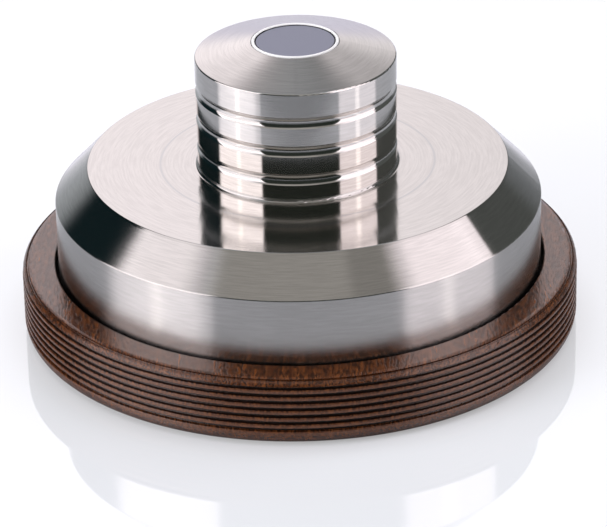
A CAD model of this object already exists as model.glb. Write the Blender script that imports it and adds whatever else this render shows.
import math

import bmesh
import bpy
from mathutils import Matrix, Vector

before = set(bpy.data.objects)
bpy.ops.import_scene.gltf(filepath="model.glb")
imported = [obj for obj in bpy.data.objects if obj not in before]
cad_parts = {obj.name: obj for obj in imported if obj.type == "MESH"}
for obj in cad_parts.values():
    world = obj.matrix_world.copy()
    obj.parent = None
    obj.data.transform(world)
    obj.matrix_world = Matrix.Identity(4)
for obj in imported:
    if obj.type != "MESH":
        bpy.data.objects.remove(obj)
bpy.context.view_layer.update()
mm = 0.001
print("frame loaded:", ", ".join(sorted(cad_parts)))


def linearColor(hexValue):
    channels = [int(hexValue[i:i + 2], 16) / 255 for i in (1, 3, 5)]
    return [c / 12.92 if c <= 0.04045 else ((c + 0.055) / 1.055) ** 2.4 for c in channels] + [1.0]


# adds a node, sets its properties, and sets or links its inputs
def addNode(tree, kind, inputs=None, **settings):
    node = tree.nodes.new("ShaderNode" + kind)
    for name, value in settings.items():
        setattr(node, name, value)
    for socket, value in (inputs or {}).items():
        if isinstance(value, bpy.types.Node):
            value = value.outputs[0]
        if isinstance(value, bpy.types.NodeSocket):
            tree.links.new(value, node.inputs[socket])
        else:
            node.inputs[socket].default_value = value
    return node


def newMaterial(name):
    material = bpy.data.materials.new(name)
    material.use_nodes = True
    return material, material.node_tree, material.node_tree.nodes["Principled BSDF"]


# camera, placed from a fit to the circles of the object in the photo
cameraView = {
    "pivot": (0, 0, 20.0),      # mm, the point that the distance is measured from
    "distance": 620.9,          # mm
    "elevation": 25.67,         # degrees above the table
    "aim": (0.62, 0, 9.11),     # mm, the point in the middle of the picture
    "roll": 1.19,               # degrees, the object's top leans to the left
    "lens": 223.0,              # mm
    "sensor": 36.0,             # mm wide
}


def makeCamera(view):
    data = bpy.data.cameras.new("camera")
    data.lens = view["lens"]
    data.sensor_width = view["sensor"]
    data.sensor_fit = "HORIZONTAL"
    elevation = math.radians(view["elevation"])
    back = Vector((0, -math.cos(elevation), math.sin(elevation)))
    place = (Vector(view["pivot"]) + back * view["distance"]) * mm
    look = (Vector(view["aim"]) * mm - place).normalized()
    level = look.cross(Vector((0, 0, 1))).normalized()
    right = Matrix.Rotation(math.radians(view["roll"]), 3, look) @ level
    up = right.cross(look)
    camera = bpy.data.objects.new("camera", data)
    camera.matrix_world = Matrix.Translation(place) @ Matrix((right, up, -look)).transposed().to_4x4()
    bpy.context.collection.objects.link(camera)
    bpy.context.scene.camera = camera


makeCamera(cameraView)
print("camera placed")

# turned stainless steel: the lathe leaves fine rings, so reflections stay sharp round
# the axis and smear across the rings; the drum was cut with a coarser feed than the knob
steel = {
    # where each zone starts, in mm up, its color and its roughness
    "zones": {
        "drum": {"start": 0.0, "color": "#DBD7D3", "roughness": 0.18},
        "shoulder": {"start": 22.5, "color": "#D2CECA", "roughness": 0.12},
        "flat": {"start": 27.9, "color": "#CCC8C4", "roughness": 0.08},
        "foot": {"start": 28.3, "color": "#E6E2DE", "roughness": 0.3},
        "knob": {"start": 28.7, "color": "#E6E2DE", "roughness": 0.09},
        "cone": {"start": 46.9, "color": "#D2CECA", "roughness": 0.12},
    },
    "top": 49.6,            # mm
    "markColor": "#9A9794",
    "markShare": 0.2,
    "markRange": (0.35, 0.65),  # of the noise, from a full mark to none
    "anisotropy": 1.0,
    "smearTurn": 0.25,      # of a full turn, from along the rings to across them
    "markWidth": 0.3,       # mm, coarser than real turning marks so that they show
    "markLength": 4.0,      # mm
    "markDepth": 0.002,     # mm
    "stepRadius": 22.5,     # mm, faint ring on the flat top where the cutting tool changed
    "stepWidth": 0.35,      # mm
    "stepColor": "#B9B8B7",
}


def turnedSteel(name, look):
    material, tree, shader = newMaterial(name)
    place = addNode(tree, "TexCoord").outputs["Object"]
    height = addNode(tree, "SeparateXYZ", {0: place}).outputs[2]
    flat = addNode(tree, "VectorMath", {0: place, 1: (1, 1, 0)}, operation="MULTIPLY")
    radius = addNode(tree, "VectorMath", {0: flat}, operation="LENGTH").outputs["Value"]
    outward = addNode(tree, "VectorMath", {0: flat}, operation="NORMALIZE")
    around = addNode(tree, "VectorMath", {0: (0, 0, 1), 1: outward}, operation="CROSS_PRODUCT")
    # the marks change along the profile and are long round the axis
    along = addNode(tree, "Math", {0: height, 1: radius}, operation="SUBTRACT")
    steps = addNode(tree, "Math", {0: along, 1: look["markWidth"] * mm}, operation="DIVIDE")
    dashes = addNode(tree, "VectorMath", {0: flat, "Scale": 1000 / look["markLength"]}, operation="SCALE")
    turn = addNode(tree, "SeparateXYZ", {0: dashes})
    ringPlace = addNode(tree, "CombineXYZ", {0: steps, 1: turn.outputs[0], 2: turn.outputs[1]})
    marks = addNode(tree, "TexNoise", {"Vector": ringPlace, "Scale": 1.0, "Detail": 2.0, "Roughness": 0.5})
    markShare = addNode(tree, "MapRange", {"Value": marks, "From Min": look["markRange"][0],
                                           "From Max": look["markRange"][1],
                                           "To Min": look["markShare"], "To Max": 0.0})
    level = addNode(tree, "Math", {0: height, 1: look["top"] * mm}, operation="DIVIDE")
    # a zone's roughness goes along in the ramp's alpha
    finish = addNode(tree, "ValToRGB", {0: level})
    stops = finish.color_ramp.elements
    finish.color_ramp.interpolation = "CONSTANT"
    stops.remove(stops[1])
    for zone in look["zones"].values():
        stop = stops.new(zone["start"] / look["top"]) if zone["start"] else stops[0]
        stop.color = linearColor(zone["color"])[:3] + [zone["roughness"]]
    color = addNode(tree, "Mix", {0: markShare, 6: finish, 7: linearColor(look["markColor"])},
                    data_type="RGBA")
    fromStep = addNode(tree, "Math", {0: radius, 1: look["stepRadius"] * mm}, operation="SUBTRACT")
    beside = addNode(tree, "Math", {0: fromStep}, operation="ABSOLUTE")
    step = addNode(tree, "MapRange", {"Value": beside, "From Min": 0.0, "From Max": look["stepWidth"] * mm,
                                      "To Min": 1.0, "To Max": 0.0}, interpolation_type="SMOOTHSTEP")
    color = addNode(tree, "Mix", {0: step, 6: color.outputs[2], 7: linearColor(look["stepColor"])},
                    data_type="RGBA")
    bump = addNode(tree, "Bump", {"Height": marks, "Strength": 1.0, "Distance": look["markDepth"] * mm})
    shader.inputs["Metallic"].default_value = 1.0
    shader.inputs["Anisotropic"].default_value = look["anisotropy"]
    shader.inputs["Anisotropic Rotation"].default_value = look["smearTurn"]
    tree.links.new(color.outputs[2], shader.inputs["Base Color"])
    tree.links.new(finish.outputs["Alpha"], shader.inputs["Roughness"])
    tree.links.new(around.outputs[0], shader.inputs["Tangent"])
    tree.links.new(bump.outputs[0], shader.inputs["Normal"])
    return material


# dark hardwood, turned and oiled: satin, with grain along the board and open pores, ribs
# rubbed lighter on their crests and dark between them
wood = {
    "dark": "#3E1E0E",
    "light": "#683B1D",
    "pore": "#2C160B",
    "crest": "#7A4E36",
    "crestShare": 0.35,
    "crestDepth": 0.1,      # mm, how far in from the outside the crests are rubbed
    "groove": "#120804",
    "ribRadius": 46.0,      # mm
    "ribZone": (2.7, 10.6),     # mm, heights that the ribs lie between
    "ribDepth": (0.12, 0.45),   # mm, where a groove starts to darken and is fully dark
    "innerRadius": 40.6,    # mm, the bare inner wall,
    "innerFoot": 4.9,       # mm, and the height that it starts from
    "gloss": "#FFE6DA",
    "roughness": 0.26,
    "ior": 1.68,
    "wax": 0.35,
    "waxRoughness": 0.2,
    "grainWidth": 0.6,      # mm
    "grainLength": 8.4,     # mm, along the board
    "grainHeight": 1.2,     # mm
    "grainRange": (0.34, 0.68),     # of the noise, from dark grain to light
    "poreWidth": 0.36,      # mm, drawn coarser than real pores so that they show
    "poreLength": 1.8,      # mm
    "poreDepth": 0.02,      # mm
    "poreRange": (0.36, 0.56),      # of the noise, from pore to plain wood
}


def darkWood(name, look):
    material, tree, shader = newMaterial(name)
    place = addNode(tree, "TexCoord").outputs["Object"]
    # the board's length lies along y
    grainScale = (1000 / look["grainWidth"], 1000 / look["grainLength"], 1000 / look["grainHeight"])
    grainPlace = addNode(tree, "Mapping", {0: place, "Scale": grainScale})
    grain = addNode(tree, "TexNoise", {"Vector": grainPlace, "Scale": 1.0, "Detail": 5.0, "Distortion": 0.3})
    grainColor = addNode(tree, "ValToRGB", {0: grain})
    stops = grainColor.color_ramp.elements
    stops[0].position, stops[0].color = look["grainRange"][0], linearColor(look["dark"])
    stops[1].position, stops[1].color = look["grainRange"][1], linearColor(look["light"])
    poreScale = (1000 / look["poreWidth"], 1000 / look["poreLength"], 1000 / look["poreWidth"])
    porePlace = addNode(tree, "Mapping", {0: place, "Scale": poreScale})
    poreNoise = addNode(tree, "TexNoise", {"Vector": porePlace, "Scale": 1.0, "Detail": 2.0})
    pores = addNode(tree, "MapRange", {"Value": poreNoise, "From Min": look["poreRange"][0],
                                       "From Max": look["poreRange"][1], "To Min": 1.0, "To Max": 0.0},
                    interpolation_type="SMOOTHSTEP")
    board = addNode(tree, "Mix", {0: pores, 6: grainColor, 7: linearColor(look["pore"])}, data_type="RGBA")
    flat = addNode(tree, "VectorMath", {0: place, 1: (1, 1, 0)}, operation="MULTIPLY")
    radius = addNode(tree, "VectorMath", {0: flat}, operation="LENGTH").outputs["Value"]
    rubbed = addNode(tree, "MapRange", {"Value": radius, "To Max": look["crestShare"],
                                        "From Min": (look["ribRadius"] - look["crestDepth"]) * mm,
                                        "From Max": look["ribRadius"] * mm})
    crest = addNode(tree, "Mix", {0: rubbed, 6: board.outputs[2], 7: linearColor(look["crest"])},
                    data_type="RGBA")
    deep = addNode(tree, "MapRange", {"Value": radius, "To Min": 1.0, "To Max": 0.0,
                                      "From Min": (look["ribRadius"] - look["ribDepth"][1]) * mm,
                                      "From Max": (look["ribRadius"] - look["ribDepth"][0]) * mm})
    height = addNode(tree, "SeparateXYZ", {0: place}).outputs[2]
    above = addNode(tree, "Math", {0: height, 1: look["ribZone"][0] * mm}, operation="GREATER_THAN")
    below = addNode(tree, "Math", {0: height, 1: look["ribZone"][1] * mm}, operation="LESS_THAN")
    zone = addNode(tree, "Math", {0: above, 1: below}, operation="MULTIPLY")
    ribs = addNode(tree, "Math", {0: zone, 1: deep}, operation="MULTIPLY")
    inside = addNode(tree, "Math", {0: radius, 1: look["innerRadius"] * mm}, operation="LESS_THAN")
    raised = addNode(tree, "Math", {0: height, 1: look["innerFoot"] * mm}, operation="GREATER_THAN")
    inner = addNode(tree, "Math", {0: inside, 1: raised}, operation="MULTIPLY")
    between = addNode(tree, "Math", {0: ribs, 1: inner}, operation="MAXIMUM")
    color = addNode(tree, "Mix", {0: between, 6: crest.outputs[2], 7: linearColor(look["groove"])},
                    data_type="RGBA")
    sink = addNode(tree, "Bump", {"Height": pores, "Strength": 1.0, "Distance": look["poreDepth"] * mm},
                   invert=True)
    tree.links.new(color.outputs[2], shader.inputs["Base Color"])
    tree.links.new(sink.outputs[0], shader.inputs["Normal"])
    shader.inputs["Roughness"].default_value = look["roughness"]
    shader.inputs["IOR"].default_value = look["ior"]
    shader.inputs["Specular Tint"].default_value = linearColor(look["gloss"])
    shader.inputs["Coat Weight"].default_value = look["wax"]
    shader.inputs["Coat Roughness"].default_value = look["waxRoughness"]
    return material


# anodised aluminium, etched satin: a soft blue-grey face, with a white lacquered border and
# a dark line between them
emblem = {
    "face": "#8C8F9E",
    "faceRoughness": 0.42,
    "line": "#26282C",
    "border": "#F2F2F3",
    "borderRoughness": 0.35,
    "faceRadius": 6.35,     # mm
    "borderInside": 6.6,    # mm
    "grainWidth": 0.2,      # mm
    "grainDepth": 0.004,    # mm
}


def satinAluminium(name, look):
    material, tree, shader = newMaterial(name)
    place = addNode(tree, "TexCoord").outputs["Object"]
    flat = addNode(tree, "VectorMath", {0: place, 1: (1, 1, 0)}, operation="MULTIPLY")
    radius = addNode(tree, "VectorMath", {0: flat}, operation="LENGTH").outputs["Value"]
    inLine = addNode(tree, "Math", {0: radius, 1: look["faceRadius"] * mm}, operation="GREATER_THAN")
    inBorder = addNode(tree, "Math", {0: radius, 1: look["borderInside"] * mm}, operation="GREATER_THAN")
    inner = addNode(tree, "Mix", {0: inLine, 6: linearColor(look["face"]), 7: linearColor(look["line"])},
                    data_type="RGBA")
    color = addNode(tree, "Mix", {0: inBorder, 6: inner.outputs[2], 7: linearColor(look["border"])},
                    data_type="RGBA")
    polish = addNode(tree, "MapRange", {"Value": inBorder, "To Min": look["faceRoughness"],
                                        "To Max": look["borderRoughness"]})
    grain = addNode(tree, "TexNoise", {"Vector": place, "Scale": 1000 / look["grainWidth"], "Detail": 2.0})
    bump = addNode(tree, "Bump", {"Height": grain, "Strength": 1.0, "Distance": look["grainDepth"] * mm})
    metal = addNode(tree, "Math", {0: 1.0, 1: inBorder}, operation="SUBTRACT")
    tree.links.new(metal.outputs[0], shader.inputs["Metallic"])
    tree.links.new(color.outputs[2], shader.inputs["Base Color"])
    tree.links.new(polish.outputs[0], shader.inputs["Roughness"])
    tree.links.new(bump.outputs[0], shader.inputs["Normal"])
    return material


# stainless screws, cold-headed: plain grey with a faint unevenness
screws = {
    "color": "#B9B9BB",
    "wornColor": "#A5A5A8",
    "roughness": 0.32,
    "grainWidth": 0.4,      # mm
    "grainDepth": 0.006,    # mm
}


def plainStainless(name, look):
    material, tree, shader = newMaterial(name)
    place = addNode(tree, "TexCoord").outputs["Object"]
    grain = addNode(tree, "TexNoise", {"Vector": place, "Scale": 1000 / look["grainWidth"], "Detail": 3.0})
    color = addNode(tree, "Mix", {0: grain, 6: linearColor(look["wornColor"]), 7: linearColor(look["color"])},
                    data_type="RGBA")
    bump = addNode(tree, "Bump", {"Height": grain, "Strength": 1.0, "Distance": look["grainDepth"] * mm})
    shader.inputs["Metallic"].default_value = 1.0
    shader.inputs["Roughness"].default_value = look["roughness"]
    tree.links.new(color.outputs[2], shader.inputs["Base Color"])
    tree.links.new(bump.outputs[0], shader.inputs["Normal"])
    return material


finishes = {
    "steel_weight": turnedSteel("turnedStainlessSteel", steel),
    "wood_ring": darkWood("oiledDarkWood", wood),
    "emblem_disc": satinAluminium("satinAnodisedAluminium", emblem),
    "base_screws": plainStainless("plainStainlessSteel", screws),
}
for nodeName, finish in finishes.items():
    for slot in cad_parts[nodeName].material_slots:
        slot.material = finish
print("materials set")

# white acrylic table top: mirrors a little of what stands on it
table = {
    "size": 3.0,             # m
    "sink": 0.01,            # mm, keeps its face apart from the ring's underside
    "color": "#E9EDF5",
    "roughness": 0.03,
    "ior": 2.6,
    "cameraWhite": 0.35,     # share of plain white that only the camera sees,
    "whiteFrom": 85.0,       # mm from the middle, where that share starts to grow
    "whiteTo": 250.0,        # mm, and where all is white
    "seeThrough": 0.4,       # share of the dark studio below it that the steel sees,
    "frontThrough": 0.68,    # and its share towards the camera
    "nearSide": -85.0,       # mm, y where the share starts to grow
    "farSide": -105.0,       # mm
}


def makeTable(look):
    shape = bmesh.new()
    bmesh.ops.create_grid(shape, x_segments=1, y_segments=1, size=look["size"] / 2,
                          matrix=Matrix.Translation((0, 0, -look["sink"] * mm)))
    mesh = bpy.data.meshes.new("table")
    shape.to_mesh(mesh)
    shape.free()
    floor = bpy.data.objects.new("table", mesh)
    bpy.context.collection.objects.link(floor)
    material, tree, shader = newMaterial("whiteAcrylic")
    shader.inputs["Base Color"].default_value = linearColor(look["color"])
    shader.inputs["Roughness"].default_value = look["roughness"]
    shader.inputs["IOR"].default_value = look["ior"]
    path = addNode(tree, "LightPath").outputs
    white = addNode(tree, "Emission", {"Color": (1, 1, 1, 1), "Strength": 1.0})
    clear = addNode(tree, "BsdfTransparent")
    spot = addNode(tree, "TexCoord").outputs["Object"]
    away = addNode(tree, "VectorMath", {0: spot}, operation="LENGTH").outputs["Value"]
    whiteShare = addNode(tree, "MapRange", {"Value": away, "From Min": look["whiteFrom"] * mm,
                                            "From Max": look["whiteTo"] * mm, "To Min": look["cameraWhite"],
                                            "To Max": 1.0})
    camera = addNode(tree, "Math", {0: path["Is Camera Ray"], 1: whiteShare}, operation="MULTIPLY")
    place = addNode(tree, "SeparateXYZ", {0: spot})
    through = addNode(tree, "MapRange", {"Value": place.outputs[1], "From Min": look["farSide"] * mm,
                                         "From Max": look["nearSide"] * mm, "To Min": look["frontThrough"],
                                         "To Max": look["seeThrough"]})
    glossy = addNode(tree, "Math", {0: path["Is Glossy Ray"], 1: through}, operation="MULTIPLY")
    # open from below, so that the underside can be looked at
    below = addNode(tree, "NewGeometry").outputs["Backfacing"]
    unseen = addNode(tree, "Math", {0: glossy, 1: below}, operation="MAXIMUM")
    seen = addNode(tree, "MixShader", {0: camera, 1: shader, 2: white})
    surface = addNode(tree, "MixShader", {0: unseen, 1: seen, 2: clear})
    tree.links.new(surface.outputs[0], tree.nodes["Material Output"].inputs["Surface"])
    mesh.materials.append(material)


makeTable(table)
print("table made")

# studio: a soft box on each side with a bright tube in it and its image in the table, a dark
# front, flags beside it, a white sweep at the back and a dim ceiling; a later panel covers
# an earlier one. all angles are in degrees: turn is round from the camera's side, + to the
# right, rise is up, and past 90 where a panel closes overhead, edge is the width of the soft
# edge in turn and in rise, and lean is how far turn grows with each degree of rise
studio = {
    "dark": "#9CEEFF",
    "darkLevel": 0.018,
    "panels": [
        {"name": "overhead", "turn": (-180, 180), "rise": (54, 126), "edge": (1, 10), "level": 0.54,
         "color": "#EEF8FF"},
        {"name": "zenith", "turn": (-180, 180), "rise": (72, 108), "edge": (1, 8), "level": 0.3,
         "color": "#FFFEFB"},
        {"name": "front", "turn": (-46, 52), "rise": (-2, 46), "edge": (4, 4), "level": 0.03,
         "color": "#E7FFED"},
        {"name": "frontTop", "turn": (-58, 52), "rise": (46, 70), "edge": (6, 6), "level": 0.4,
         "color": "#FFFCF7"},
        {"name": "rightTopFlag", "turn": (-30, 10), "rise": (44, 70), "edge": (10, 6), "level": 0.3,
         "color": "#FFFCF7", "lean": 1.1},
        {"name": "rightFlag", "turn": (100, 160), "rise": (0, 54), "edge": (6, 4), "level": 0.1,
         "color": "#F6FFFC"},
        {"name": "sweepRight", "turn": (162.5, 192), "rise": (0, 46), "edge": (14, 12), "level": 1.1,
         "color": "#FFFBFF"},
        {"name": "sweepLeft", "turn": (178, 202), "rise": (0, 46), "edge": (14, 12), "level": 1.42,
         "color": "#FFF9FE"},
        {"name": "sweepMirror", "turn": (165, 195), "rise": (-24, 10), "edge": (8, 16), "level": 0.95,
         "color": "#EEECFF"},
        {"name": "leftHorizon", "turn": (-165, -135), "rise": (-20, 10), "edge": (12, 20), "level": 0.48,
         "color": "#F0F8FF"},
        {"name": "rightHorizon", "turn": (137, 165), "rise": (-20, 8), "edge": (12, 20), "level": 0.22,
         "color": "#F0F8FF"},
        {"name": "leftBox", "turn": (-100.5, -41.9), "rise": (-4, 43), "edge": (3, 3), "level": 1.25,
         "color": "#FFFAFF"},
        {"name": "leftTop", "turn": (-62, -6), "rise": (40, 64), "edge": (34, 3), "level": 1.25,
         "color": "#FFFAFF", "lean": -1.1},
        {"name": "leftLow", "turn": (-100.5, -41.9), "rise": (19, 34), "edge": (3, 8), "level": 2.25,
         "color": "#FFFAFF"},
        {"name": "leftTube", "turn": (-73.6, -68.4), "rise": (19, 34), "edge": (1.5, 8), "level": 2.8,
         "color": "#FFFAFC"},
        {"name": "leftMirror", "turn": (-97.5, -48), "rise": (-60, -4), "edge": (6, 1), "level": 0.75,
         "color": "#FFFAFF"},
        {"name": "leftGlow", "turn": (-86, -54), "rise": (-60, -4), "edge": (28, 1), "level": 1.25,
         "color": "#FFFAFD"},
        {"name": "leftStripe", "turn": (-73.6, -68.4), "rise": (-60, -4), "edge": (0.6, 1), "level": 2.0,
         "color": "#FFF9F9"},
        {"name": "rightBox", "turn": (49.5, 98), "rise": (-4, 43), "edge": (2, 3), "level": 1.4,
         "color": "#FFF7FD"},
        {"name": "rightTop", "turn": (8.5, 64), "rise": (40, 64), "edge": (26, 3), "level": 1.4,
         "color": "#FFF7FD", "lean": 1.1},
        {"name": "rightWing", "turn": (50, 76.5), "rise": (24, 60), "edge": (2, 3), "level": 1.4,
         "color": "#FFF7FD", "lean": 1.0},
        {"name": "rightLow", "turn": (49.5, 102.5), "rise": (19, 36), "edge": (2, 10), "level": 1.72,
         "color": "#FFF7FD"},
        {"name": "rightTube", "turn": (71, 77), "rise": (19, 36), "edge": (2, 10), "level": 2.5,
         "color": "#FFF8FB"},
        {"name": "rightMirror", "turn": (49.5, 102.5), "rise": (-60, -4), "edge": (5, 1), "level": 0.57,
         "color": "#FFF7FD"},
        {"name": "rightStripe", "turn": (71, 76.4), "rise": (-60, -4), "edge": (0.6, 1), "level": 1.25,
         "color": "#FFF8FA"},
    ],
}


def makeStudio(light):
    world = bpy.data.worlds.new("studio")
    bpy.context.scene.world = world
    world.use_nodes = True
    tree = world.node_tree
    direction = addNode(tree, "TexCoord").outputs["Generated"]
    axes = addNode(tree, "SeparateXYZ", {0: direction}).outputs
    towards = addNode(tree, "Math", {0: axes[1], 1: -1.0}, operation="MULTIPLY")
    turn = addNode(tree, "Math", {0: axes[0], 1: towards}, operation="ARCTAN2")
    rise = addNode(tree, "Math", {0: axes[2]}, operation="ARCSINE")
    glow = [channel * light["darkLevel"] for channel in linearColor(light["dark"])]
    for panel in light["panels"]:
        masks = []
        leaning = addNode(tree, "Math", {0: rise, 1: -panel.get("lean", 0), 2: turn},
                          operation="MULTIPLY_ADD")
        for angle, limits, edge in zip((leaning, rise), (panel["turn"], panel["rise"]), panel["edge"]):
            middle = math.radians(sum(limits) / 2)
            half = math.radians(limits[1] - limits[0]) / 2
            soft = math.radians(edge) / 2
            offset = addNode(tree, "Math", {0: angle, 1: middle}, operation="SUBTRACT")
            wrapped = addNode(tree, "Math", {0: offset, 1: math.pi, 2: -math.pi}, operation="WRAP")
            apart = addNode(tree, "Math", {0: wrapped}, operation="ABSOLUTE")
            masks.append(addNode(tree, "MapRange", {"Value": apart, "From Min": half - soft,
                                                    "From Max": half + soft, "To Min": 1.0, "To Max": 0.0},
                                 interpolation_type="SMOOTHSTEP"))
        share = addNode(tree, "Math", {0: masks[0], 1: masks[1]}, operation="MULTIPLY")
        panelGlow = [channel * panel["level"] for channel in linearColor(panel["color"])]
        mixed = addNode(tree, "Mix", {0: share, 6: glow, 7: panelGlow}, data_type="RGBA",
                        label=panel["name"])
        glow = mixed.outputs[2]
    camera = addNode(tree, "LightPath").outputs["Is Camera Ray"]
    shown = addNode(tree, "Mix", {0: camera, 6: glow, 7: (1, 1, 1, 1)}, data_type="RGBA")
    tree.links.new(shown.outputs[2], tree.nodes["Background"].inputs["Color"])


makeStudio(studio)

# one broad lamp overhead and one low on each side, kept out of the steel's reflections;
# place and size in m, power in W
lamps = [
    {"name": "topLamp", "place": (0, 0, 1.0), "size": 0.8, "power": 4.4},
    {"name": "leftLamp", "place": (-0.6, -0.37, 0.25), "size": 0.3, "power": 2.4},
    {"name": "rightLamp", "place": (0.66, 0.24, 0.25), "size": 0.3, "power": 1.6},
]


def makeLamp(lamp):
    data = bpy.data.lights.new(lamp["name"], "AREA")
    data.size = lamp["size"]
    data.energy = lamp["power"]
    light = bpy.data.objects.new(lamp["name"], data)
    place = Vector(lamp["place"])
    light.location = place
    light.rotation_euler = place.to_track_quat("Z", "Y").to_euler()
    light.visible_glossy = False
    bpy.context.collection.objects.link(light)


for lamp in lamps:
    makeLamp(lamp)
bpy.context.scene.view_settings.view_transform = "Standard"
print("studio lit")
